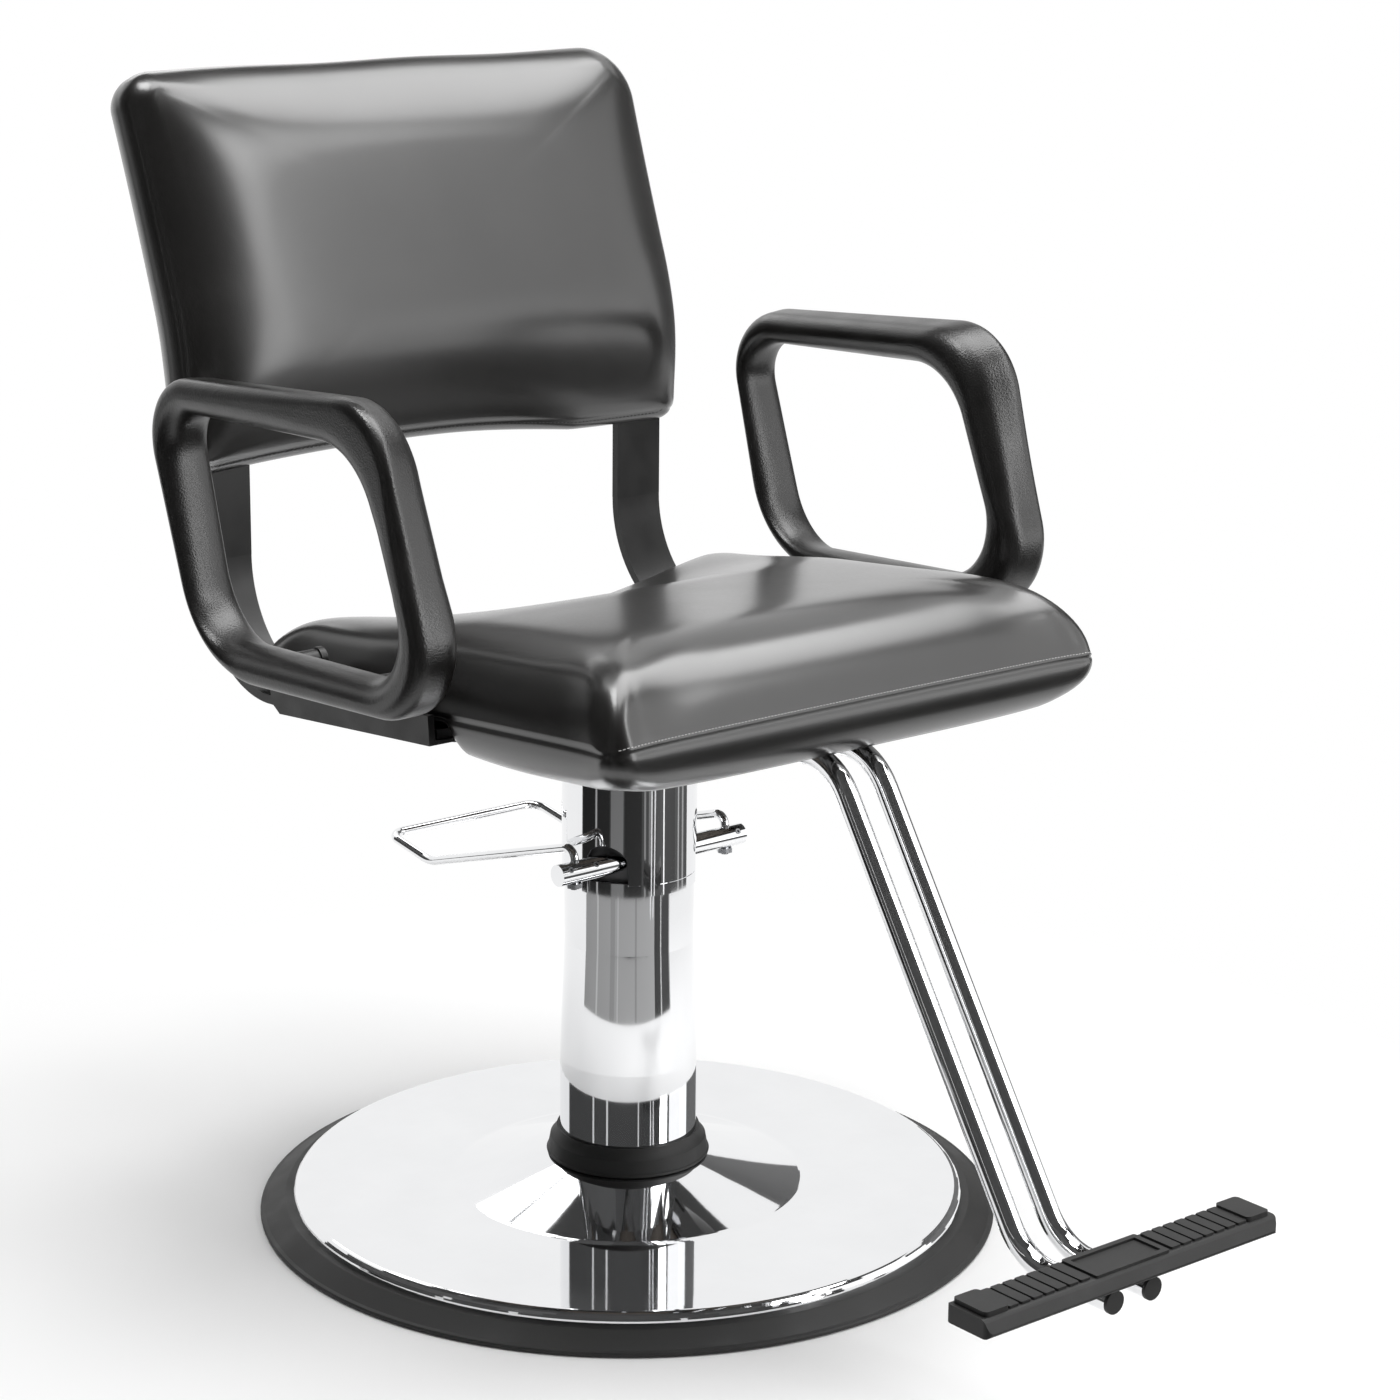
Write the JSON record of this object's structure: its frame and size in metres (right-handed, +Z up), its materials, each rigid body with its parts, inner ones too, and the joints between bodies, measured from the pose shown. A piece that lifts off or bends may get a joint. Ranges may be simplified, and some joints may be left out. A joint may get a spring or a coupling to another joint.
{
  "type": "styling chair",
  "caption": "Padded salon styling chair with looped arms on a swivelling hydraulic column, with a round chromed base, a wire foot lever and a twin-tube footrest.",
  "frame": {"origin": "on the floor under the column axis, at the middle of the base weight's flat underside", "axes": "+Z up along the column, -Y the way the sitter faces, +X the sitter's left"},
  "size_m": [0.681, 1.0223, 0.9926],
  "materials": {
    "chrome": "mirror-bright chrome plate",
    "steel": "zinc-plated fasteners and pump steel",
    "iron": "raw cast iron inside the base and pump",
    "bronze": "plain bearing bronze",
    "rubber": "satin black rubber",
    "black_steel": "satin black powder coat",
    "vinyl": "smooth satin black upholstery vinyl",
    "urethane": "fine-textured moulded black urethane",
    "plywood": "plain plywood"
  },
  "bodies": {
    "base": {"base_plate": "chrome", "base_bumper": "rubber", "base_weight": "iron", "base_socket": "iron", "socket_bush": "bronze", "socket_bolts": "steel", "thrust_washer": "bronze", "column_gasket": "rubber"},
    "column": {"column_tube": "chrome", "column_plug": "steel", "oil_cylinder": "steel", "pump_head": "iron", "ram_wiper": "rubber", "plunger_spring": "steel"},
    "plunger": {"pump_plunger": "steel"},
    "lever": {"rocker_shaft": "chrome", "pump_lever": "chrome", "rocker_arm": "steel", "set_screws": "steel", "lever_nuts": "steel"},
    "chair": {"lift_ram": "chrome", "piston_seal": "rubber", "ram_hub": "iron", "column_sleeve": "chrome", "sleeve_screws": "steel", "seat_plate": "black_steel", "seat_plate_bolts": "steel", "seat_board": "plywood", "seat_cushion": "vinyl", "left_back_bar": "black_steel", "right_back_bar": "black_steel", "back_bar_bolts": "steel", "left_side_plate": "black_steel", "right_side_plate": "black_steel", "left_arm": "urethane", "right_arm": "urethane", "arm_spacers": "black_steel", "arm_bolts": "steel", "back_board": "plywood", "back_board_screws": "steel", "back_cushion": "vinyl", "back_rear_pad": "vinyl", "footrest_bracket": "black_steel", "footrest_bolts": "steel", "left_footrest_tube": "chrome", "right_footrest_tube": "chrome", "footrest_pad": "rubber", "tube_plugs": "rubber", "footrest_screws": "steel"}
  },
  "joints": [
    {"name": "swivel", "type": "hinge", "parent": "base", "child": "column", "pos_m": [0, 0, 0.1], "axis": [0, 0, 1], "continuous": true},
    {"name": "lift", "type": "slide", "parent": "column", "child": "chair", "axis": [0, 0, 1], "range_m": [0, 0.15]},
    {"name": "pump", "type": "hinge", "parent": "column", "child": "lever", "pos_m": [0, -0.03, 0.333], "axis": [1, 0, 0], "range_deg": [-22, 0], "stiffness_Nm_per_rad": 4, "springref_deg": 20.05},
    {"name": "plunger_stroke", "type": "slide", "parent": "column", "child": "plunger", "axis": [0, 0, 1], "range_m": [-0.0078, 0], "deforming": ["plunger_spring"]}
  ],
  "couplings": [
    {"joint": "plunger_stroke", "follows": "pump", "m_per_rad": 0.02}
  ]
}
